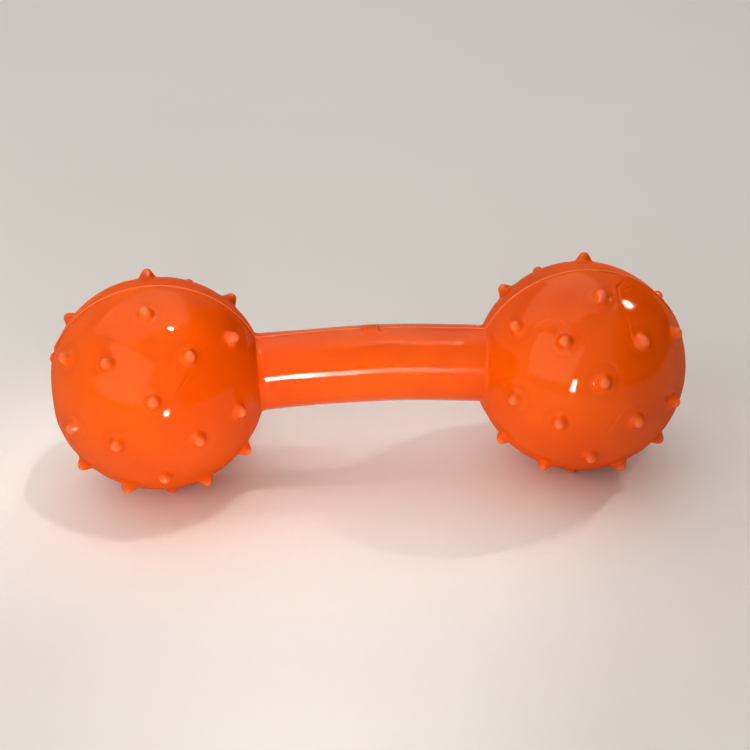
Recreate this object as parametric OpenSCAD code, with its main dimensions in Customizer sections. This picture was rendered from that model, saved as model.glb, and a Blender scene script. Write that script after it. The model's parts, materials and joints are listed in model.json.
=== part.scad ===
// Dumbbell rattle: two nubbed balls joined by a round handle, in soft vinyl.
// The long axis is X, the parting plane is XZ and the origin is the middle of the handle.
// The front shell is the half at -Y. The port and its plug are in the pole of the ball at -X.

/* [Size] */
// Diameter of each ball, without its nubs
ball_d = 44; // [40:0.5:50]
// Distance between the centres of the two balls
ball_gap = 88; // [80:1:110]
// Diameter of the handle
handle_d = 16; // [13:0.5:18]
// Thickness of the vinyl wall
wall = 2.4; // [2:0.1:3]
// Thickness of the web between the handle's chamber and each ball's chamber
web = 1.9; // [1.6:0.1:2.4]

/* [Nubs] */
// Height of a nub above the ball
nub_h = 1.8; // [1:0.1:2]
// Diameter of a nub where it leaves the ball
nub_base_d = 3.8; // [3:0.1:4.5]
// Diameter of a nub's rounded tip
nub_tip_d = 2; // [1.4:0.1:2.4]

/* [Parting line] */
// Height of the moulding flash above the surface
flash_h = 0.3; // [0.2:0.05:0.5]
// Width of the flash on each half shell
flash_w = 0.3; // [0.2:0.05:0.5]
// Width and height of the tongue that locates the half shells
tongue = 0.8; // [0.6:0.1:1]
// Width and length of the trimmed moulding stub on the handle's parting line
stub = 3.2; // [2:0.1:4]

/* [Port and plug] */
// Diameter of the flat land on the left pole
land_d = 14; // [12:0.5:15]
// Diameter of the plug's head
head_d = 10.4; // [9:0.1:11]
// Thickness of the plug's head
head_t = 1; // [0.8:0.1:1.2]
// Depth of the recess that holds the head
recess = 1.6; // [1.3:0.1:1.8]
// Diameter of the plug's stem
stem_d = 6; // [5:0.1:6.5]

/* [Rattle capsules] */
// Outside diameter of a capsule
capsule_d = 27; // [25:0.5:28]
// Thickness of a capsule's wall
capsule_wall = 1.2; // [1:0.1:1.5]
// Diameter of a pellet
pellet_d = 4; // [3:0.1:4]
// Distance between the lanes of two pellets
lane_gap = 4.3; // [4.2:0.1:4.4]

/* [Hidden] */
$fn = 96;

FRONT = -1;
REAR = 1;
LEFT = -1;
RIGHT = 1;

ball_r = ball_d / 2;
handle_r = handle_d / 2;
ball_x = ball_gap / 2;
vinyl_clear = 0.1;    // gap between a soft part and its neighbour
hard_clear = 0.05;    // gap between two hard parts
big = ball_gap;       // longer than anything it cuts

// Flat pole: how far from the ball's centre the land lies, and where it is on X
land_out = sqrt(pow(ball_r, 2) - pow(land_d / 2, 2));
land_x = -ball_x - land_out;
collar_len = 4.2;     // depth of the thickened wall round the port
collar_d = 14;
barb_d = stem_d + 1.6;
barb_len = 1.4;
stub_h = flash_h + 0.1;

// Half length of the handle's chamber, which a web closes off from each ball's chamber
handle_end = ball_x - ball_r + wall - web;

// Rings of nubs on a half ball: [angle from the middle towards the pole, first angle
// down from the top of the parting line, step, number]
NUB_RINGS = [
    [-46, 33, 56, 3],
    [-20, 49, 46, 3],
    [0, 23, 47, 4],
    [21, 48, 45, 3],
    [48, 34, 55, 3]
];

// Saddle ribs that hold a capsule in the middle of its ball
rib_x = 8;
rib_t = 1.6;
lap = 1.6;            // overlap of the capsule's cup and lid
lip_r = (capsule_d - capsule_wall) / 2;
lanes = 5;
pellet_run_r = capsule_d / 2 - capsule_wall - pellet_d / 2 - hard_clear;

// Shell ---------------------------------------------------------------------------
// Everything in a shell but its nubs and its parting line is round about X, so it is
// drawn as one section: the distance from the axis goes across and X goes up.

// Turns a section about the X axis
module turned() {
    rotate([0, 90, 0]) rotate_extrude() intersection() {
        children();
        translate([0, -big]) square([big, 2 * big]);
    }
}

// A rectangle from the axis out to r, between x0 and x1
module section_bar(r, x0, x1) {
    translate([-r, x0]) square([2 * r, x1 - x0]);
}

// The dumbbell's outline grown by grow, negative to shrink it
module outline(grow) {
    for (side = [LEFT, RIGHT]) translate([0, side * ball_x]) circle(r = ball_r + grow);
    section_bar(handle_r + grow, -ball_x, ball_x);
}

// The closed chambers of the two balls and of the handle
module chambers() {
    for (side = [LEFT, RIGHT]) translate([0, side * ball_x]) circle(r = ball_r - wall);
    section_bar(handle_r - wall, -handle_end, handle_end);
}

// Two saddle ribs in each ball, opened to seat the capsule
module saddle_ribs() {
    rib_r = sqrt(pow(ball_r - wall / 2, 2) - rib_x * rib_x);
    for (side = [LEFT, RIGHT]) translate([0, side * ball_x]) difference() {
        for (x = [-rib_x, rib_x]) section_bar(rib_r, x - rib_t / 2, x + rib_t / 2);
        circle(r = capsule_d / 2 + vinyl_clear);
    }
}

// What the port takes out of the left pole: the land, the head's recess and the stem's hole
module port() {
    section_bar(collar_d, land_x - big, land_x);
    section_bar(head_d / 2 + vinyl_clear, land_x - 1, land_x + recess);
    section_bar(stem_d / 2 + vinyl_clear, land_x, land_x + collar_len + 1);
}

module shell_section() {
    difference() {
        union() {
            difference() {
                outline(0);
                chambers();
            }
            saddle_ribs();
            section_bar(collar_d / 2, land_x - 1, land_x + collar_len);
        }
        port();
    }
}

// Everything on one side of the parting plane, up to depth away from it
module half_space(way, depth = big) {
    translate([-big, way == REAR ? 0 : -depth, -big]) cube([2 * big, depth, 2 * big]);
}

// One nub on the Z axis: a cone with a rounded tip, with its foot inside the wall
module nub() {
    base_r = nub_base_d / 2;
    tip_r = nub_tip_d / 2;
    foot = wall / 2;
    rotate_extrude() polygon([
        [0, -foot],
        [base_r, -foot],
        [base_r, -0.1],
        [tip_r * 1.3, nub_h * 0.35],
        [tip_r * 0.95, nub_h * 0.75],
        [tip_r * 0.5, nub_h * 0.96],
        [0, nub_h]
    ]);
}

// The nubs of one half of one ball, about the ball's centre
module half_ball_nubs(side, way) {
    for (ring = NUB_RINGS, k = [0 : ring[3] - 1])
        rotate([-way * (ring[1] + k * ring[2]), 0, 0])
            rotate([0, side * ring[0], 0])
                translate([0, 0, ball_r]) nub();
}

// The low flat stub on top of the handle, half in each shell
module half_stub(way) {
    intersection() {
        translate([-stub / 2, -stub / 2, handle_r - wall / 2]) cube([stub, stub, wall / 2 + stub_h]);
        half_space(way);
    }
}

// The ridge that stands round the parting line
module flash(way) {
    intersection() {
        turned() difference() {
            outline(flash_h);
            outline(-wall / 2);
            port();
        }
        half_space(way, flash_w);
    }
}

// A strip along the middle of the wall, for the tongue and its groove, which both stop
// short of the port
module wall_strip(width, depth, port_gap) {
    intersection() {
        turned() difference() {
            outline(-wall / 2 + width / 2);
            outline(-wall / 2 - width / 2);
            section_bar(collar_d / 2 + port_gap, land_x - 1, land_x + collar_len);
        }
        half_space(FRONT, depth);
    }
}

module half_shell(way) {
    intersection() {
        turned() shell_section();
        half_space(way);
    }
    for (side = [LEFT, RIGHT]) translate([side * ball_x, 0, 0]) half_ball_nubs(side, way);
    flash(way);
    half_stub(way);
}

module front_shell() {
    color("orangered") difference() {
        half_shell(FRONT);
        wall_strip(tongue + 2 * vinyl_clear, tongue + vinyl_clear, wall / 2);
    }
}

module rear_shell() {
    color("orangered") {
        half_shell(REAR);
        wall_strip(tongue, tongue, wall / 2 + vinyl_clear);
    }
}

// A cylinder along X from x0 outwards to x1
module x_cylinder(d, x0, x1) {
    translate([x0, 0, 0]) rotate([0, 90, 0]) cylinder(d = d, h = x1 - x0);
}

// Plug: head in the recess, stem through the collar and a barb behind it
module end_plug() {
    head_x = land_x + recess - head_t - vinyl_clear;
    barb_x = land_x + collar_len + vinyl_clear;
    color("orangered") {
        x_cylinder(head_d, head_x, head_x + head_t);
        x_cylinder(stem_d, head_x + head_t / 2, barb_x + barb_len);
        translate([barb_x, 0, 0]) rotate([0, 90, 0])
            cylinder(d1 = barb_d, d2 = stem_d - 1, h = barb_len);
    }
}

// Capsules ------------------------------------------------------------------------

// Both halves of a capsule are turned about Z. The section of the wall:
module capsule_section() {
    difference() {
        circle(d = capsule_d);
        circle(r = capsule_d / 2 - capsule_wall);
    }
}

// Lower half, with a lip that stands up inside the lid's rim
module capsule_cup(side) {
    translate([side * ball_x, 0, 0]) color("white") rotate_extrude() intersection() {
        capsule_section();
        union() {
            translate([0, -capsule_d]) square([capsule_d, capsule_d]);
            square([lip_r - hard_clear, lap]);
        }
    }
}

// Upper half, cut back inside to clear the cup's lip
module capsule_lid(side) {
    translate([side * ball_x, 0, 0]) color("white") rotate_extrude() difference() {
        intersection() {
            capsule_section();
            square([capsule_d, capsule_d]);
        }
        translate([0, -1]) square([lip_r, lap + 1 + hard_clear]);
    }
}

// Pellets -------------------------------------------------------------------------

// Pellet number k lies at the bottom of its own lane round the capsule
module pellet(side, k) {
    lane = (k - (lanes + 1) / 2) * lane_gap;
    drop = sqrt(pow(pellet_run_r, 2) - lane * lane);
    color("gold") translate([side * ball_x + lane, 0, -drop]) sphere(d = pellet_d);
}

front_shell();
rear_shell();
end_plug();
capsule_cup(LEFT);  // left_capsule_cup
capsule_lid(LEFT);  // left_capsule_lid
capsule_cup(RIGHT);  // right_capsule_cup
capsule_lid(RIGHT);  // right_capsule_lid
pellet(LEFT, 1);  // left_pellet_1
pellet(LEFT, 2);  // left_pellet_2
pellet(LEFT, 3);  // left_pellet_3
pellet(LEFT, 4);  // left_pellet_4
pellet(LEFT, 5);  // left_pellet_5
pellet(RIGHT, 1);  // right_pellet_1
pellet(RIGHT, 2);  // right_pellet_2
pellet(RIGHT, 3);  // right_pellet_3
pellet(RIGHT, 4);  // right_pellet_4
pellet(RIGHT, 5);  // right_pellet_5
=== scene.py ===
"""Looks of the dumbbell rattle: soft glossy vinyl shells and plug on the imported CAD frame.

Shapes are worked out in millimetres in the row frame (+X along the handle, +Z up, front
shell at -Y) and written to the meshes in metres.
"""

import json
import math

import bmesh
import bpy
import numpy as np
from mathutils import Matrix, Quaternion, Vector, noise


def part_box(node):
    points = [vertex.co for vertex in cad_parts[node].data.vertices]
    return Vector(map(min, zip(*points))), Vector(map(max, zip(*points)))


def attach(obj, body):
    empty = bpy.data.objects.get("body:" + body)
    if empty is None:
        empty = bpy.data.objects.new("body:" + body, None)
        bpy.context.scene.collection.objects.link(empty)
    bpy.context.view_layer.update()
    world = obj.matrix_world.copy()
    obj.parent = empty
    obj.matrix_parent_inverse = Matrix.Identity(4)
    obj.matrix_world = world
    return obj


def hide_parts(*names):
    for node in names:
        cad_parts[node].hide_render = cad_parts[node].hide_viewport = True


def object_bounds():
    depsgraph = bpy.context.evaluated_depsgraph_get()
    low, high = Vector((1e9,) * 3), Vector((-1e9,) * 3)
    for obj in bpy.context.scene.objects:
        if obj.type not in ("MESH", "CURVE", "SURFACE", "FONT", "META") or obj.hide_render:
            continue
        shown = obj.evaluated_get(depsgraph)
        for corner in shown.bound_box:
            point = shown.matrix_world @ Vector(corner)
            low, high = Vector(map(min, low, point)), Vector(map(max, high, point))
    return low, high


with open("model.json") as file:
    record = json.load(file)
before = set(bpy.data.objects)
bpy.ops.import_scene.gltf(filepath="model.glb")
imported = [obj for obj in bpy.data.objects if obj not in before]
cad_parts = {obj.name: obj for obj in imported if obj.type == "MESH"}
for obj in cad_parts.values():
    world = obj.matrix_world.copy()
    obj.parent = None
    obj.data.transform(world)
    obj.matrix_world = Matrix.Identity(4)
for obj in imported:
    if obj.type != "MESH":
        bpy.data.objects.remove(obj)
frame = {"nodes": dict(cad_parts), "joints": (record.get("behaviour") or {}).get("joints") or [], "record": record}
CAD_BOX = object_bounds()
MM = 0.001

# ---------------------------------------------------------------- sizes
# Read from the frame where it has them; the others are the CAD's own, in millimetres.


def mount(name):
    """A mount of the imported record."""
    return next(m for m in frame["record"]["mounts"] if m["name"] == name)


FLASH_H = 0.3  # height of the parting line's ridge
WALL = 2.4  # thickness of the vinyl
SHELL_LO, SHELL_HI = (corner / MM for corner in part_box("front_shell"))
PLUG_LO, PLUG_HI = (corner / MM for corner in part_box("end_plug"))
BALL_X = max(joint["pos_m"][0] for joint in frame["joints"]) / MM
BALL_R = SHELL_HI.x - BALL_X - FLASH_H
HANDLE_R = mount("grip")["dims"]["r_mm"]
LAND_X = SHELL_LO.x  # the flat land on the left pole
LAND_R = math.sqrt(BALL_R**2 - (LAND_X + BALL_X) ** 2)
PLUG_R = PLUG_HI.z
PORT_GAP = 0.1  # between the shells and what they hold
HEAD_T = 1.0  # thickness of the plug's head
RECESS_X = PLUG_LO.x + HEAD_T + PORT_GAP  # floor of the recess, behind the head
STEM_R = 3.0  # of the plug
COLLAR_X = LAND_X + 4.2  # inner end of the thickened wall round the port
CAPSULE_LO, CAPSULE_HI = (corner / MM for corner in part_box("left_capsule_cup"))
SEAT_R = (CAPSULE_HI.x - CAPSULE_LO.x) / 2 + PORT_GAP  # of the ribs that hold a capsule
RIB_X, RIB_T = 8, 1.6  # place of a saddle rib beside a ball's centre, and its thickness
WEB = 1.9  # thickness of the web between the handle's chamber and a ball's
LEFT, RIGHT = -1, 1
FRONT, REAR = -1, 1

# Rings of nubs on a half ball, as on the CAD shells: degrees from the middle of the ball
# towards its pole, first angle down from the top of the parting line, step, number
NUB_RINGS = [
    (-46, 33, 56, 3),
    (-20, 49, 46, 3),
    (0, 23, 47, 4),
    (21, 48, 45, 3),
    (48, 34, 55, 3),
]
NUB_H = 1.8
NUB_REACH = 2.7  # how far from its centre a nub raises the surface
CREASE_REACH = 0.9  # the same for a crease
STUB = 3.2  # width and length of the flat stub on the handle
SHELL_SOFT, PLUG_SOFT = 0.2, 0.15  # how far the corners of a section are rounded

# Folds and scratches of the soft wall on each ball of the front shell, as the angles of
# the points that each passes: towards the pole, and down from the top. The rear shell has
# the left ball's on its right ball and the other way about.
CREASES = {
    LEFT: [[(-29, 46), (-33, 41)], [(-12, 67), (-20, 58)], [(-49, 109), (-57, 113)]],
    RIGHT: [
        [(10, 29), (11, 14), (17, 5)],
        [(11, 18), (24, 7)],
        [(13, 32), (14, 43), (17, 53)],
        [(14, 81), (9, 90), (4, 101)],
        [(-38, 36), (-30, 35), (-22, 37), (-16, 41)],
        [(-7, 67), (-5, 62.5), (-2, 60.3), (2, 60), (5, 61.5), (7, 65)],
    ],
}

# ---------------------------------------------------------------- mesh resolution

GRID = 0.67  # spacing of the shell's grid
CORNER_STEP = math.radians(9)  # largest turn of the section between two stations
# Angles of the close rows by the parting line
EDGE_ROWS = (0.004, 0.009, 0.015, 0.022, 0.032, 0.046, 0.066)
INNER_ROW_STEP = 6  # one inner row for this many outer rows
STATION_GAP = 0.15  # an even station nearer than this to an inner corner gives way to it
PATH_STEP = 0.05  # spacing of the points that draw a section
WELD = 1e-4  # vertices nearer than this become one

# ---------------------------------------------------------------- section of the wall


def line(start, end):
    """Points from start to just short of end."""
    count = max(2, round(math.dist(start, end) / PATH_STEP))
    t = np.arange(count)[:, None] / count
    return np.asarray(start) * (1 - t) + np.asarray(end) * t


def arc(centre_x, radius, first, last):
    """Points round (centre_x, 0) from the first angle to just short of the last."""
    count = max(2, round(abs(last - first) * radius / PATH_STEP))
    a = first + (last - first) * np.arange(count) / count
    return np.stack([centre_x + radius * np.cos(a), radius * np.sin(a)], axis=1)


def along(points):
    """Distance along a path at each of its points."""
    return np.concatenate([[0], np.cumsum(np.linalg.norm(np.diff(points, axis=0), axis=1))])


def softened(points, sigma):
    """The path with its corners rounded over a distance sigma, its ends kept."""
    s = along(points)
    even = np.arange(0, s[-1], PATH_STEP)
    path = np.stack([np.interp(even, s, points[:, k]) for k in range(2)], axis=1)
    reach = int(4 * sigma / PATH_STEP)
    weight = np.exp(-0.5 * (np.arange(-reach, reach + 1) * PATH_STEP / sigma) ** 2)
    weight /= weight.sum()
    before = 2 * path[0] - path[reach:0:-1]
    after = 2 * path[-1] - path[-2 : -reach - 2 : -1]
    padded = np.concatenate([before, path, after])
    return np.stack([np.convolve(padded[:, k], weight, "valid") for k in range(2)], axis=1)


def outer_section():
    """The shell's outside from the port's bore to the right pole, as (x, distance from X),
    with the distance along it at the land's edge and at the two ends of the handle."""
    crease = math.asin(HANDLE_R / BALL_R)
    crease_x = BALL_X - BALL_R * math.cos(crease)
    land_angle = math.pi - math.asin(LAND_R / BALL_R)
    recess_r = PLUG_R + PORT_GAP
    bore_r = STEM_R + PORT_GAP
    port = [
        line((RECESS_X, bore_r), (RECESS_X, recess_r)),
        line((RECESS_X, recess_r), (LAND_X, recess_r)),
        line((LAND_X, recess_r), (LAND_X, LAND_R)),
    ]
    left = arc(-BALL_X, BALL_R, land_angle, crease)
    handle = line((-crease_x, HANDLE_R), (crease_x, HANDLE_R))
    right = arc(BALL_X, BALL_R, math.pi - crease, 0)
    parts = [np.concatenate(port), left, handle, right]
    path = np.concatenate(parts + [[(BALL_X + BALL_R, 0.0)]])
    ends = along(path)[np.cumsum([len(p) for p in parts[:3]])]
    return path, ends


def chamber(ball, first, last):
    """The inside of the ball centred at ball, from one angle to another, with its two
    saddle ribs: five pieces, each a list of lines and arcs."""
    radius = BALL_R - WALL
    pieces = []
    for x in (-RIB_X, RIB_X):
        sides = (x - RIB_T / 2, x + RIB_T / 2)
        wall = [math.acos(side / radius) for side in sides]
        seat = [math.acos(side / SEAT_R) for side in sides]
        foot = [(ball + side, radius * math.sin(a)) for side, a in zip(sides, wall)]
        tip = [(ball + side, SEAT_R * math.sin(a)) for side, a in zip(sides, seat)]
        pieces.append([arc(ball, radius, first, wall[0])])
        pieces.append([line(foot[0], tip[0]), arc(ball, SEAT_R, *seat), line(tip[1], foot[1])])
        first = wall[1]
    return [*pieces, [arc(ball, radius, first, last)]]


def inner_section():
    """The shell's inside: the path, the distances along it at which it turns a corner, the
    distance at the end of the collar, and pairs of a distance and the X on the outside that
    belongs to it. On each web the path runs to the axis and back."""
    radius = BALL_R - WALL
    tube = HANDLE_R - WALL
    dome = BALL_X - radius
    collar_angle = math.pi - math.asin(LAND_R / radius)
    collar_end = (-BALL_X + radius * math.cos(collar_angle), LAND_R)
    bore_r = STEM_R + PORT_GAP
    port = [
        line((COLLAR_X, bore_r), (COLLAR_X, LAND_R)),
        line((COLLAR_X, LAND_R), collar_end),
    ]
    web = dome - WEB
    handle = [
        [line((-dome, 0), (-web, 0))],
        [line((-web, 0), (-web, tube))],
        [line((-web, tube), (web, tube))],
        [line((web, tube), (web, 0))],
        [line((web, 0), (dome, 0))],
    ]
    pieces = [port, *chamber(-BALL_X, collar_angle, 0), *handle, *chamber(BALL_X, math.pi, 0)]
    ribs = [side * RIB_X + way * RIB_T / 2 for side in (LEFT, RIGHT) for way in (-1, 1)]
    webs = (0, 0.5, 1.5)  # on the outside, how far past a web's face its corners belong
    outside = [
        *(x - BALL_X for x in ribs),
        *(-web - past for past in reversed(webs)),
        *(web + past for past in webs),
        *(x + BALL_X for x in ribs),
    ]
    parts = [part for piece in pieces for part in piece]
    path = np.concatenate(parts + [[(BALL_X + radius, 0.0)]])
    s = along(path)
    corners = s[np.cumsum([0] + [len(part) for part in parts])]
    starts = s[np.cumsum([sum(len(part) for part in piece) for piece in pieces])]
    return path, corners, starts[0], list(zip(starts[1:-1], outside))


def matched_knots(collar, pairs):
    """Distances along the outside and along the inside that belong together."""
    past_land = OUTER_S > OUTER_KNOTS[1]
    outside = [np.interp(x, OUTER[past_land, 0], OUTER_S[past_land]) for _, x in pairs]
    inside = [s for s, _ in pairs]
    return [0, OUTER_KNOTS[1], *outside, OUTER_S[-1]], [0, collar, *inside, INNER_S[-1]]


OUTER_RAW, OUTER_ENDS = outer_section()
OUTER = softened(OUTER_RAW, SHELL_SOFT)
OUTER[-1, 1] = 0  # the right pole is on the axis
OUTER_S = along(OUTER)
# Distances at the port's bore, the land's edge, the two ends of the handle and the right pole
OUTER_KNOTS = [0, *(OUTER_ENDS * OUTER_S[-1] / along(OUTER_RAW)[-1]), OUTER_S[-1]]
INNER, INNER_CORNERS, *INNER_PAIRS = inner_section()
INNER_S = along(INNER)
MATCH_OUTER, MATCH_INNER = matched_knots(*INNER_PAIRS)


def section_normals(path):
    """Outward unit normals of a section that runs towards +X."""
    tangent = np.gradient(path, axis=0)
    tangent /= np.linalg.norm(tangent, axis=1)[:, None]
    return np.stack([-tangent[:, 1], tangent[:, 0]], axis=1)


OUTER_NORMAL = section_normals(OUTER)
OUTER_NORMAL[-1] = (1, 0)  # along the axis, so that the pole stays one point


def stations():
    """Distances along the section at which the grid has its rings: closer where the outside
    turns, and one on each corner of the inside."""
    turn = np.unwrap(np.arctan2(OUTER_NORMAL[:, 1], OUTER_NORMAL[:, 0]))
    curvature = np.abs(np.gradient(turn, OUTER_S))
    density = 1 / GRID + curvature / CORNER_STEP
    total = np.concatenate([[0], np.cumsum((density[1:] + density[:-1]) / 2 * np.diff(OUTER_S))])
    count = math.ceil(total[-1])
    even = np.interp(np.linspace(0, total[-1], count + 1), total, OUTER_S)
    turns = np.interp(INNER_CORNERS, MATCH_INNER, MATCH_OUTER)
    apart = np.min(np.abs(even[:, None] - turns), axis=1)
    return np.sort(np.concatenate([even[apart > STATION_GAP], turns]))


def rows():
    """Angles round X from the top of the parting line to its bottom."""
    edge = np.array(EDGE_ROWS)
    count = round((math.pi - 2 * edge[-1]) / (GRID / BALL_R))
    count += -(count + 2 * len(edge)) % INNER_ROW_STEP
    middle = np.linspace(edge[-1], math.pi - edge[-1], count + 1)
    return np.concatenate([[0], edge[:-1], middle, math.pi - edge[-2::-1], [math.pi]])


# ---------------------------------------------------------------- relief of the shells


def on_ball(side, way, lat, down):
    """A point of a ball, from its angle towards the pole and its angle down from the top."""
    lat, down = math.radians(lat), math.radians(down)
    x = BALL_X + BALL_R * math.sin(lat)
    ring_r = BALL_R * math.cos(lat)
    return np.array([side * x, way * ring_r * math.sin(down), ring_r * math.cos(down)])


def nub_centres():
    """Centres of all the nubs on the balls' surface."""
    return np.array(
        [
            on_ball(side, way, lat, first + k * step)
            for side in (LEFT, RIGHT)
            for way in (FRONT, REAR)
            for lat, first, step, number in NUB_RINGS
            for k in range(number)
        ]
    )


def crease_points(way):
    """Points along the creases of a half shell, and how deep each is as a fraction."""
    points, depths = [], []
    for side, creases in CREASES.items():
        for knots in creases:
            knots = np.array(knots, dtype=float)
            angle = along(knots)
            steps = np.linspace(0, angle[-1], 4 + int(angle[-1]))
            lats, downs = (np.interp(steps, angle, knots[:, k]) for k in range(2))
            points += [on_ball(side * way * FRONT, way, *p) for p in zip(lats, downs)]
            depths += list(np.sin(math.pi * steps / angle[-1]))
    return np.array(points), np.array(depths)


NUBS = nub_centres()


def smooth(t):
    """0 below 0, 1 above 1 and smooth between."""
    t = np.clip(t, 0, 1)
    return t * t * (3 - 2 * t)


def bell(x, width):
    """1 at 0, falling to nothing over a few widths on both sides."""
    return np.exp(-((x / width) ** 2))


def nub_profile(d):
    """Height of a nub at distance d from its centre: a round tip, a steep flank and a
    fillet at the foot."""
    tip_r = 1.05
    slope = math.radians(58)
    fillet = 0.28
    foot_r = 1.9
    turn_d = tip_r * math.sin(slope)
    cap = NUB_H - tip_r + np.sqrt(np.maximum(tip_r**2 - np.minimum(d, turn_d) ** 2, 0))
    flank = -np.maximum(d - turn_d, 0) * math.tan(slope)
    height = cap + flank
    raised = (height + np.sqrt(height**2 + fillet**2)) / 2
    return raised * (1 - smooth((d - foot_r) / (NUB_REACH - foot_r)))


def nub_relief(points):
    """Nubs, and the faint ring where the thick foot of each has shrunk."""
    ring_r, ring_w, ring_depth = 3.1, 0.8, 0.06
    ring_reach = 6
    height = np.zeros(len(points))
    for centre in NUBS:
        d = np.linalg.norm(points - centre, axis=1)
        near = d < ring_reach
        height[near] += nub_profile(d[near])
        height[near] -= ring_depth * bell(d[near] - ring_r, ring_w)
    return height


def crease_relief(points, centres, depths):
    """Fine grooves between low rims."""
    groove_w, groove_depth = 0.26, 0.15
    rim_r, rim_w, rim_h = 0.6, 0.3, 0.05
    groove = np.zeros(len(points))
    rim = np.zeros(len(points))
    for centre, depth in zip(centres, depths):
        d = np.linalg.norm(points - centre, axis=1)
        groove = np.maximum(groove, depth * bell(d, groove_w))
        rim = np.maximum(rim, depth * bell(d - rim_r, rim_w))
    return rim_h * rim - groove_depth * groove


def flash_relief(points, s):
    """The parting line's ridge. It stops at the land, a little higher there and nicked once,
    and at the stub."""
    top_w, side_w = 0.08, 0.3
    taller, taller_for, fade = 0.9, 5, 0.8
    nick_lat, nick_r = 64, 0.5
    stub_gap, stub_fade = 0.2, 0.3
    ridge = 1 - smooth((np.abs(points[:, 1]) - top_w) / side_w)
    from_land = s - OUTER_KNOTS[1]
    height = FLASH_H * (1 + taller * bell(from_land, taller_for)) * smooth(from_land / fade)
    from_nick = np.linalg.norm(points - on_ball(LEFT, FRONT, nick_lat, 0), axis=1)
    nick = 1 - np.exp(-((from_nick / nick_r) ** 4))
    on_stub = 1 - smooth((np.abs(points[:, 0]) - STUB / 2 - stub_gap) / stub_fade)
    return ridge * height * nick * np.where(points[:, 2] > 0, 1 - on_stub, 1)


def stub_relief(points):
    """The stub on top of the handle: a low pad, cut off a little unevenly inside its rim,
    with a nick at each end."""
    pad_h, cut_depth, nick_depth = 0.4, 0.22, 0.3
    edge_w, rim_w, nick_r = 0.3, 0.35, 0.45
    from_edge = STUB / 2 - np.maximum(np.abs(points[:, 0]), np.abs(points[:, 1]))
    pad = pad_h * smooth(from_edge / edge_w)
    cut = cut_depth * smooth((from_edge - rim_w) / edge_w)
    end = np.hypot(np.abs(points[:, 0]) - STUB / 2 - rim_w, points[:, 1])
    return np.where(points[:, 2] > 0, pad - cut - nick_depth * bell(end, nick_r), 0)


def joint_relief(s):
    """A thin raised line where each ball meets the handle."""
    height, width = 0.16, 0.35
    return sum(height * bell(s - knot, width) for knot in OUTER_KNOTS[2:4])


def wave(points, size, seed):
    """Smooth noise from -1 to 1 over features of a size in millimetres."""
    offset = Vector((seed * 17.3, seed * 5.1, seed * 9.7))
    return np.array([noise.noise(Vector(p) / size + offset) for p in points])


def wall_relief(points, s):
    """The gentle unevenness of a soft moulded wall, none at the parting line and the land."""
    off_parting = smooth(np.abs(points[:, 1]) / 2)
    off_land = smooth((s - OUTER_KNOTS[1]) / 4)
    return (0.22 * wave(points, 16, 1) + 0.05 * wave(points, 6, 2)) * off_parting * off_land


# ---------------------------------------------------------------- the bow of the handle

BOW = 2.35  # how far the middle of the handle stands off the line between the balls
BOW_ROUND = 9.0  # how gently the handle turns at its middle
BOW_TILT = math.radians(25)  # the bow's plane leans back from upright by this
BOW_UP = np.array([0, math.sin(BOW_TILT), math.cos(BOW_TILT)])


def bowed(points):
    """Points of the straight rattle moved to its slightly bowed shape. The centres of the
    balls stay where they are."""
    span = math.hypot(BALL_X, BOW_ROUND) - BOW_ROUND
    x = points[:, 0]
    reach = np.sqrt(x**2 + BOW_ROUND**2)
    lift = BOW * (1 - (reach - BOW_ROUND) / span)
    angle = np.arctan(-BOW / span * x / reach)
    up = points @ BOW_UP
    across = points - np.outer(up, BOW_UP)
    across[:, 0] = x - up * np.sin(angle)
    return across + np.outer(lift + up * np.cos(angle), BOW_UP)


# ---------------------------------------------------------------- building the shells


def shell_topology(outer_s, outer_v):
    """A closed half shell laid out flat: (distance along the section, angle, 0 outside or
    1 inside) for each vertex, and the faces."""
    ns, nv = len(outer_s), len(outer_v)
    inner_v = outer_v[::INNER_ROW_STEP]
    ni = len(inner_v)
    verts = [(s, v, 0.0) for s in outer_s for v in outer_v]
    verts += [(s, v, 1.0) for s in outer_s for v in inner_v]

    def out(i, j):
        return i * nv + j

    def ins(i, j):
        return ns * nv + i * ni + j

    faces = []
    for i in range(ns - 1):
        for j in range(nv - 1):
            faces.append((out(i, j), out(i + 1, j), out(i + 1, j + 1), out(i, j + 1)))
        for j in range(ni - 1):
            faces.append((ins(i, j), ins(i, j + 1), ins(i + 1, j + 1), ins(i + 1, j)))
        faces.append((out(i, 0), ins(i, 0), ins(i + 1, 0), out(i + 1, 0)))
        faces.append((out(i, nv - 1), out(i + 1, nv - 1), ins(i + 1, ni - 1), ins(i, ni - 1)))
    for j in range(ni - 1):
        mouth = [out(0, k) for k in range(j * INNER_ROW_STEP, (j + 1) * INNER_ROW_STEP + 1)]
        faces.append((ins(0, j + 1), ins(0, j), *mouth))
    return verts, faces


def outer_points(s, v, way):
    """Points and outward normals of the plain outer surface."""
    x, r = (np.interp(s, OUTER_S, OUTER[:, k]) for k in range(2))
    nx, nr = (np.interp(s, OUTER_S, OUTER_NORMAL[:, k]) for k in range(2))
    around = np.stack([np.zeros_like(v), way * np.sin(v), np.cos(v)], axis=1)
    points = around * r[:, None]
    points[:, 0] = x
    normals = around * nr[:, None]
    normals[:, 0] = nx
    return points, normals


def inner_points(s, v, way):
    """Points of the plain inner surface."""
    t = np.interp(s, MATCH_OUTER, MATCH_INNER)
    x, r = (np.interp(t, INNER_S, INNER[:, k]) for k in range(2))
    return np.stack([x, way * r * np.sin(v), r * np.cos(v)], axis=1)


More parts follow.
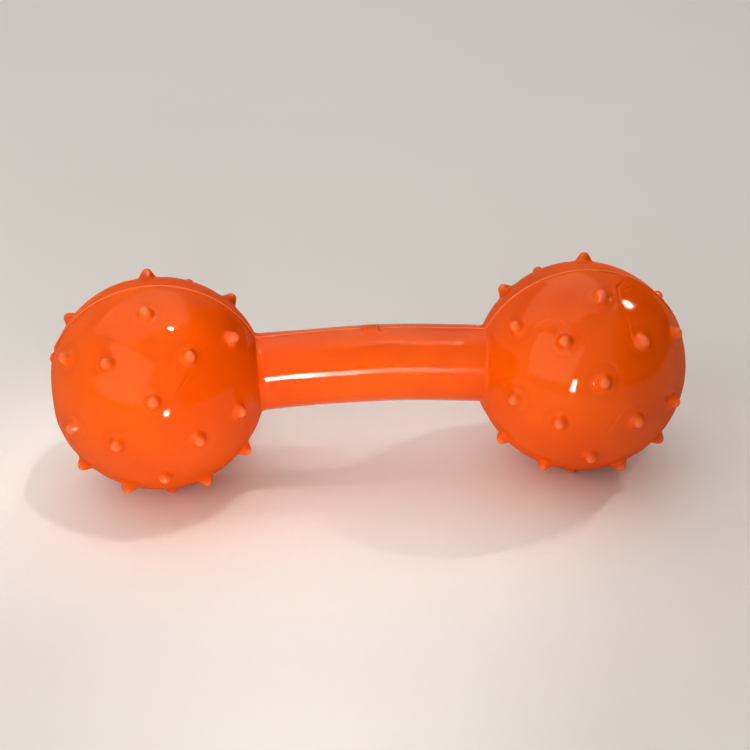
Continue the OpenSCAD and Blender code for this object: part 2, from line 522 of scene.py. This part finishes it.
def refine(bm, way, centres, reach):
    """Splits the outer faces near the centres in four."""
    bm.verts.ensure_lookup_table()
    flat = np.array([v.co for v in bm.verts])
    points = outer_points(flat[:, 0], flat[:, 1], way)[0]
    gap = np.min([np.linalg.norm(points - c, axis=1) for c in centres], axis=0)
    near = (gap < reach) & (flat[:, 2] == 0)
    edges = [e for e in bm.edges if near[e.verts[0].index] and near[e.verts[1].index]]
    bmesh.ops.subdivide_edges(bm, edges=edges, cuts=1, use_grid_fill=True)
    bm.verts.index_update()


def finished_object(name, bm):
    """A smooth-shaded object from a bmesh in millimetres, welded."""
    bmesh.ops.remove_doubles(bm, verts=bm.verts, dist=WELD)
    bmesh.ops.recalc_face_normals(bm, faces=bm.faces)
    bmesh.ops.scale(bm, vec=(MM, MM, MM), verts=bm.verts)
    mesh = bpy.data.meshes.new(name)
    bm.to_mesh(mesh)
    bm.free()
    mesh.shade_smooth()
    obj = bpy.data.objects.new(name, mesh)
    bpy.context.scene.collection.objects.link(obj)
    return obj


def flat_shell(way):
    """A half shell laid out flat, with small faces where its relief is fine."""
    verts, faces = shell_topology(stations(), rows())
    mesh = bpy.data.meshes.new("flat")
    mesh.from_pydata(verts, [], faces)
    bm = bmesh.new()
    bm.from_mesh(mesh)
    bpy.data.meshes.remove(mesh)
    stub = [(0, 0, HANDLE_R)]
    marks = np.concatenate([NUBS[NUBS[:, 1] * way > 0], stub])
    creases, _ = crease_points(way)
    for extra in (0.6, 0):
        refine(bm, way, marks, NUB_REACH + extra)
        refine(bm, way, creases, CREASE_REACH + extra)
    return bm


def shell_places(flat, way):
    """For each vertex of the flat layout its place on the rattle, and how far nubs and
    parting line raise it as a fraction of their own height."""
    s, v, inside = flat.T
    points, normals = outer_points(s, v, way)
    marks = nub_relief(points)
    ridge = flash_relief(points, s)
    lines = stub_relief(points) + joint_relief(s) + crease_relief(points, *crease_points(way))
    rise = marks + ridge + lines + wall_relief(points, s)
    points += normals * rise[:, None]
    places = np.where(inside[:, None] > 0.5, inner_points(s, v, way), points)
    places[(v == 0) | (v == math.pi), 1] = 0
    return bowed(places), np.where(inside > 0.5, 0, marks / NUB_H + ridge / FLASH_H)


def half_shell(name, way):
    """One half of the dumbbell: a closed solid with nubs, parting ridge and stub."""
    bm = flat_shell(way)
    places, raised = shell_places(np.array([v.co for v in bm.verts]), way)
    relief = bm.verts.layers.float.new("relief")
    for vertex, place, value in zip(bm.verts, places, raised):
        vertex.co = place
        vertex[relief] = value
    return finished_object(name, bm)


# ---------------------------------------------------------------- the plug


def lathe(name, section, segments=72):
    """A closed solid turned about X from a section that starts and ends on the axis, and
    carried along with the bow."""
    bm = bmesh.new()
    rings = []
    for x, r in section:
        angles = [2 * math.pi * k / segments for k in range(segments)]
        rings.append([bm.verts.new((x, r * math.sin(a), r * math.cos(a))) for a in angles])
    for one, two in zip(rings, rings[1:]):
        for k in range(segments):
            following = (k + 1) % segments
            bm.faces.new((one[k], one[following], two[following], two[k]))
    for vertex, place in zip(bm.verts, bowed(np.array([v.co for v in bm.verts]))):
        vertex.co = place
    return finished_object(name, bm)


def plug_section():
    """Domed head with a rounded rim and a centre dimple, stem and barb."""
    face, tip = PLUG_LO.x, PLUG_HI.x
    back = RECESS_X - PORT_GAP
    barb = COLLAR_X + PORT_GAP
    corners = [
        (face + 0.35, 0),
        (face + 0.3, 0.9),
        (face + 0.05, 1.5),
        (face + 0.15, PLUG_R),
        (back, PLUG_R),
        (back, STEM_R),
        (barb, STEM_R),
        (barb, STEM_R + 0.8),
        (tip, STEM_R - 0.5),
        (tip, 0.0),
    ]
    sides = [line(*ends) for ends in zip(corners, corners[1:])]
    path = softened(np.concatenate([*sides, corners[-1:]]), PLUG_SOFT)
    path[0, 1] = path[-1, 1] = 0
    return np.concatenate([path[:-1:3], path[-1:]])


# ---------------------------------------------------------------- materials


# Base colours: the main one and a deeper one for its patches, which on vinyl is also painted
# shade round the feet of the nubs. Vinyl has a third, paler one for the nub tips and the
# parting line: partly whitened thin vinyl, partly painted highlight.
ORANGE = ((0.80, 0.114, 0.001), (0.72, 0.089, 0.001), (0.95, 0.25, 0.10))
PLUG_ORANGE = ((0.72, 0.090, 0.001), (0.64, 0.070, 0.001), (0.85, 0.18, 0.010))
MILKY = ((0.82, 0.82, 0.79), (0.76, 0.77, 0.74))
STRAW = ((0.9, 0.74, 0.36), (0.84, 0.66, 0.28))
PAPER = ((0.91, 0.89, 0.86), (0.88, 0.86, 0.83))


class Nodes:
    """A node tree with short calls to add and join nodes."""

    def __init__(self, tree):
        self.tree = tree

    def add(self, kind, *numbers, **settings):
        """A node with its first inputs and some settings filled in; None skips an input."""
        node = self.tree.nodes.new("ShaderNode" + kind)
        for key, value in settings.items():
            setattr(node, key, value)
        for socket, value in zip(node.inputs, numbers):
            if isinstance(value, bpy.types.NodeSocket):
                self.tree.links.new(value, socket)
            elif value is not None:
                socket.default_value = value
        return node

    def position(self):
        """Place on the object, in metres."""
        return self.add("TexCoord").outputs["Object"]

    def noise(self, scale, detail=3.0, roughness=0.5, vector=None, distortion=0.0):
        """Noise over the object; scale is features in a metre."""
        node = self.add("TexNoise", vector or self.position())
        node.inputs["Scale"].default_value = scale
        node.inputs["Detail"].default_value = detail
        node.inputs["Roughness"].default_value = roughness
        node.inputs["Distortion"].default_value = distortion
        return node.outputs[0]

    def between(self, value, start, end, low=0.0, high=1.0):
        """Low below start, high above end and smooth between."""
        node = self.add("MapRange", value, start, end, low, high, interpolation_type="SMOOTHSTEP")
        return node.outputs[0]

    def colour(self, factor, one, two):
        """The mix of two colours, each a socket or three numbers."""
        ends = [c if isinstance(c, bpy.types.NodeSocket) else (*c, 1) for c in (one, two)]
        return self.add("MixRGB", factor, *ends).outputs[0]

    def maths(self, operation, *values):
        """One operation on sockets or numbers."""
        return self.add("Math", *values, operation=operation).outputs[0]

    def bump(self, height, strength, distance, normal=None):
        """A bump over a height, distance in metres."""
        node = self.add("Bump")
        self.feed(node, Strength=strength, Distance=distance, Height=height)
        if normal:
            self.feed(node, Normal=normal)
        return node.outputs[0]

    def feed(self, node, **sources):
        """Fills inputs by name, with _ for a space, from sockets or numbers."""
        for key, source in sources.items():
            socket = node.inputs[key.replace("_", " ")]
            if isinstance(source, bpy.types.NodeSocket):
                self.tree.links.new(source, socket)
            else:
                socket.default_value = source


def new_material(name):
    """An empty material, its nodes and its shader."""
    material = bpy.data.materials.new(name)
    material.use_nodes = True
    return material, Nodes(material.node_tree), material.node_tree.nodes["Principled BSDF"]


def vinyl_colour(m, base, deep, pale):
    """A colour that drifts a little, with painted shade round the feet of the nubs, and paler
    on their tips and on the parting line, partly as whitened thin vinyl and partly as
    painted highlight."""
    raised = m.add("Attribute", attribute_name="relief").outputs["Fac"]
    drift = m.colour(m.between(m.noise(40, 2), 0.35, 0.65), deep, base)
    # Painted shade: the deeper colour where the nubs' feet dip into the wall
    foot_shaded = m.colour(m.between(raised, -0.05, -0.01, 0.5, 0), drift, deep)
    from_parting = m.maths("ABSOLUTE", m.add("SeparateXYZ", m.position()).outputs[1])
    by_parting = m.between(from_parting, 0.0025, 0.0035, 0.65, 0)
    # Paler on the parting line's ridge and on the nub tips: partly whitened thin vinyl, partly painted highlight
    lip_whitened_and_lit = m.maths("MULTIPLY", by_parting, m.between(raised, 0.45, 0.85))
    tips_whitened_and_lit = m.between(raised, 0.35, 1.0, 0, 0.55)
    return m.colour(m.maths("MAXIMUM", lip_whitened_and_lit, tips_whitened_and_lit), foot_shaded, pale)


def vinyl_skin(m):
    """The bumps of a faint peel and soft scuffs."""
    stretch = m.add("Mapping")
    m.feed(stretch, Vector=m.position(), Rotation=(0.4, 0.9, 0.3), Scale=(7, 1.5, 1.5))
    scuffs = m.noise(45, 5, 0.6, stretch.outputs[0], 1.0)
    peel = m.bump(m.noise(900, 2), 0.10, 0.0002)
    return m.bump(scuffs, 0.06, 0.0003, peel)


def vinyl(name, base, deep, pale):
    """Soft glossy vinyl under a clear film. On the handle the film is thinner and the gloss
    is drawn out along X."""
    material, m, shader = new_material(name)
    smear = m.noise(90, 4, 0.6)
    gloss = m.between(smear, 0.35, 0.7, 0.22, 0.32)
    from_middle = m.maths("ABSOLUTE", m.add("SeparateXYZ", m.position()).outputs[0])
    on_handle = m.between(from_middle, 0.021, 0.0235, 1, 0)
    film = m.between(m.add("LayerWeight", 0.5).outputs["Facing"], 0.35, 0.85, 0.7, 0.2)
    m.feed(
        shader,
        Base_Color=vinyl_colour(m, base, deep, pale),
        Roughness=m.maths("MULTIPLY_ADD", on_handle, -0.07, gloss),
        Normal=vinyl_skin(m),
        Tangent=m.add("Tangent", direction_type="RADIAL", axis="X").outputs[0],
        Anisotropic=m.maths("MULTIPLY", on_handle, 0.94),
        Anisotropic_Rotation=0.25,
        IOR=1.5,
        Specular_IOR_Level=m.maths("MULTIPLY", on_handle, 0.3),
        Subsurface_Weight=0.1,
        Subsurface_Radius=(0.0016, 0.0004, 0.0001),
        Subsurface_Scale=1.0,
        Coat_Weight=m.maths("MULTIPLY_ADD", on_handle, -0.55, film),
        Coat_Roughness=m.between(smear, 0.4, 0.7, 0.06, 0.11),
        Coat_IOR=1.45,
    )
    return material


def plastic(name, base, deep, rough_low, rough_high, grain):
    """Hard moulded plastic with a fine grain, in features per metre, faint flow marks and
    uneven gloss."""
    material, m, shader = new_material(name)
    flow = m.between(m.noise(45, 2, 0.5, None, 1.5), 0.3, 0.7)
    m.feed(
        shader,
        Base_Color=m.colour(flow, deep, base),
        Roughness=m.between(m.noise(300, 4), 0.3, 0.7, rough_low, rough_high),
        Normal=m.bump(m.noise(grain, 2), 0.2, 0.0001),
        Subsurface_Weight=0.2,
        Subsurface_Radius=(0.001, 0.001, 0.0008),
        Subsurface_Scale=1.0,
    )
    return material


def floor_paper():
    """Plain pale paper for the floor."""
    material, m, shader = new_material("floor_paper")
    base, deep = PAPER
    m.feed(
        shader,
        Base_Color=m.colour(m.between(m.noise(5, 3), 0.3, 0.7), deep, base),
        Roughness=0.85,
        Normal=m.bump(m.noise(1500, 3), 0.1, 0.0001),
    )
    return material


def paint(obj, material):
    """Puts one material on every slot of an object."""
    if not obj.data.materials:
        obj.data.materials.append(material)
    for k in range(len(obj.material_slots)):
        obj.material_slots[k].material = material


# ---------------------------------------------------------------- pieces on the frame


def fit_skin(skin, node, material):
    """Lets a visible skin take the place of a CAD node of the rattle."""
    paint(skin, material)
    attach(skin, "rattle")
    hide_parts(node)


def build_object():
    """The visible skins, and materials for the pieces inside."""
    orange = vinyl("orange_vinyl", *ORANGE)
    for node, way in (("front_shell", FRONT), ("rear_shell", REAR)):
        fit_skin(half_shell(node + "_skin", way), node, orange)
    plug = lathe("end_plug_skin", plug_section())
    fit_skin(plug, "end_plug", vinyl("plug_vinyl", *PLUG_ORANGE))
    milky = plastic("capsule_plastic", *MILKY, 0.4, 0.55, 2500)
    straw = plastic("pellet_plastic", *STRAW, 0.16, 0.26, 4000)
    for name, node in frame["nodes"].items():
        if "capsule" in name:
            paint(node, milky)
        if "pellet" in name:
            paint(node, straw)


# ---------------------------------------------------------------- studio


# Places, sizes and distances from here on are in metres.
CAMERA_DISTANCE = 0.300
CAMERA_ELEVATION = math.radians(29.5)
CAMERA_X = -0.024
RISE = math.radians(2.4)  # of the line through the balls' centres, to the picture's right
FILL = 0.84  # share of the picture's width that the rattle's length takes up
SENSOR = 36  # width of the film in mm


def floor():
    """A pale disc that the rattle rests on."""
    bm = bmesh.new()
    bmesh.ops.create_circle(bm, cap_ends=True, radius=3.0, segments=128)
    mesh = bpy.data.meshes.new("floor")
    bm.to_mesh(mesh)
    bm.free()
    obj = bpy.data.objects.new("floor", mesh)
    obj.location.z = CAD_BOX[0].z
    bpy.context.scene.collection.objects.link(obj)
    paint(obj, floor_paper())


def area_light(name, place, target, size, power, colour, spread=180):
    """A rectangular light at place, aimed at target; power in watts, spread in degrees."""
    data = bpy.data.lights.new(name, "AREA")
    data.shape = "RECTANGLE"
    data.size, data.size_y = size
    data.energy = power
    data.color = colour
    data.spread = math.radians(spread)
    light = bpy.data.objects.new(name, data)
    light.location = place
    aim = Vector(target) - Vector(place)
    light.rotation_euler = aim.to_track_quat("-Z", "Y").to_euler()
    light.visible_camera = False
    bpy.context.scene.collection.objects.link(light)


def ball_centres():
    """Centres of the left and the right ball."""
    return [Vector((side * BALL_X * MM, 0, 0)) for side in (LEFT, RIGHT)]


def lights():
    """Soft ones overhead and near on the left, a lamp low in front and a small one over
    each ball."""
    left, right = ball_centres()
    daylight, candle = (1, 0.97, 0.93), (1, 0.92, 0.8)
    area_light("overhead", (-0.25, 0.45, 1.20), (0, 0, 0), (1.8, 1.4), 5.2, daylight)
    area_light("key", (-0.25, -0.25, 0.21), left, (0.42, 0.36), 0.45, (1, 0.96, 0.9))
    lamp = Vector((-0.018, -0.2, 0.019))
    before_handle = (lamp.x, 0, 0.02)
    area_light("lamp", lamp, before_handle, (0.018, 0.042), 0.023, (1, 0.97, 0.92), 60)
    area_light("left_spot", (0.116, -0.006, 0.577), left, (0.03, 0.05), 0.003, candle, 10)
    area_light("right_spot", (0.435, 0.168, 0.42), right, (0.045, 0.025), 0.0028, candle, 10)


def room():
    """Light from all round but the right, and a plain pale tone behind the floor."""
    world = bpy.data.worlds.new("room")
    world.use_nodes = True
    m = Nodes(world.node_tree)
    toward = m.add("SeparateXYZ", m.add("TexCoord").outputs["Generated"]).outputs[0]
    glow = m.between(toward, 0.40, 0.56, 0.42, 0.02)
    seen = m.add("LightPath").outputs["Is Camera Ray"]
    lit = m.add("Background", (1, 0.97, 0.94, 1), glow).outputs[0]
    plain = m.add("Background", (0.42, 0.41, 0.40, 1), 1.0).outputs[0]
    shown = m.add("MixShader", seen, lit, plain).outputs[0]
    m.feed(world.node_tree.nodes["World Output"], Surface=shown)
    bpy.context.scene.world = world


def camera():
    """Looks at the front shell from above, so that the parting line shows as an arc near
    the top of each ball. The balls' centres rise a little to the right of the picture."""
    low, high = CAD_BOX
    across = -CAMERA_DISTANCE * math.cos(CAMERA_ELEVATION)
    data = bpy.data.cameras.new("camera")
    data.sensor_width = SENSOR
    data.lens = SENSOR * CAMERA_DISTANCE / ((high.x - low.x) / FILL)
    cam = bpy.data.objects.new("camera", data)
    cam.location = (CAMERA_X, across, CAMERA_DISTANCE * math.sin(CAMERA_ELEVATION))
    turn = ((low + high) / 2 - cam.location).to_track_quat("-Z", "Y")
    left, right = (turn.inverted() @ (centre - cam.location) for centre in ball_centres())
    tilt = math.atan2(left.y / left.z - right.y / right.z, left.x / left.z - right.x / right.z)
    cam.rotation_mode = "QUATERNION"
    cam.rotation_quaternion = turn @ Quaternion((0, 0, 1), tilt - RISE)
    bpy.context.scene.collection.objects.link(cam)
    bpy.context.scene.camera = cam


build_object()
floor()
lights()
room()
camera()
bpy.context.scene.view_settings.view_transform = "Standard"
bpy.context.scene.view_settings.look = "Medium High Contrast"
